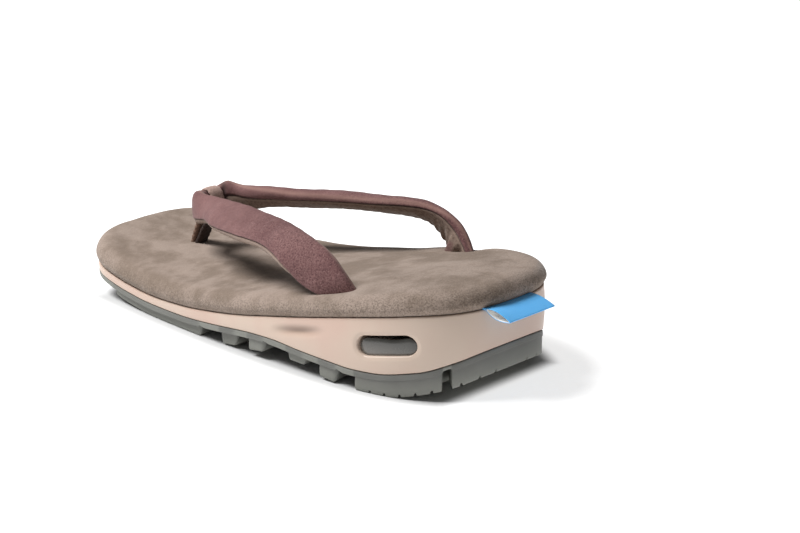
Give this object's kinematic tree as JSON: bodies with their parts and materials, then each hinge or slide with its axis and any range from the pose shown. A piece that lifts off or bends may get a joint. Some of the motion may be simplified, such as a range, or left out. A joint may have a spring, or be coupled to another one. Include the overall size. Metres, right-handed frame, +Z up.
{
  "type": "thong sandal",
  "caption": "Thong sandal with a padded suede footbed, a padded V strap over a toe post, a foam wedge with a window in its heel and a lugged rubber outsole.",
  "frame": {"origin": "centre of the bounding box's footprint, on the floor", "axes": "+Y along the foot from heel to toe, +Z up, +X to the wearer's right; the sandal is symmetric across X"},
  "size_m": [0.1168, 0.2888, 0.0668],
  "materials": {
    "rubber": "matt greenish grey rubber",
    "foam": "smooth pale pink-beige foam, half matt",
    "smoke": "smooth smoke-grey plastic",
    "suede": "taupe-grey suede with a soft mottled nap",
    "strap_suede": "dusty pink suede with a taupe lining",
    "post": "taupe and dark brown suede loop",
    "label": "plain bright blue woven label, white inside"
  },
  "bodies": {
    "root": {"outsole": "rubber", "midsole": "foam", "air_cell": "smoke", "footbed": "suede", "straps": "strap_suede", "toe_post": "post", "heel_tag": "label"}
  },
  "joints": []
}
